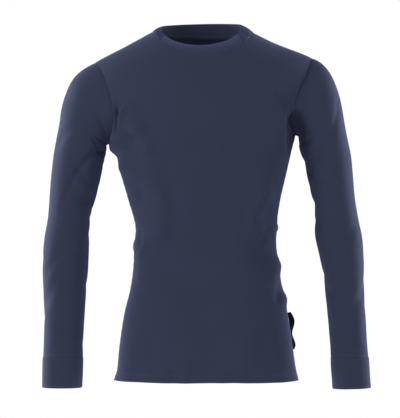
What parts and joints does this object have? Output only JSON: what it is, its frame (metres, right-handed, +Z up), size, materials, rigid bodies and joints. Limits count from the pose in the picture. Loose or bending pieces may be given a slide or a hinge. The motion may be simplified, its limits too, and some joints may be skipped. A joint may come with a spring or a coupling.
{
  "type": "long-sleeved thermal top",
  "caption": "Long-sleeved crew-neck thermal top in plain navy knit, filled out as worn, with doubled neckband and cuffs and a bare side label.",
  "frame": {"origin": "middle of the neck opening, level with the neck points where the shoulders meet the neckband", "axes": "+Z up, -Y the front of the garment, +X towards the wearer's left"},
  "size_m": [0.6534, 0.2342, 0.7324],
  "materials": {
    "body_knit": "matte fine knit",
    "band_knit": "matte fine knit, doubled",
    "label_tape": "matte woven tape"
  },
  "bodies": {
    "root": {"front": "body_knit", "back": "body_knit", "sleeve_right": "body_knit", "sleeve_left": "body_knit", "neckband": "band_knit", "cuff_right": "band_knit", "cuff_left": "band_knit", "side_label": "label_tape"}
  },
  "joints": []
}
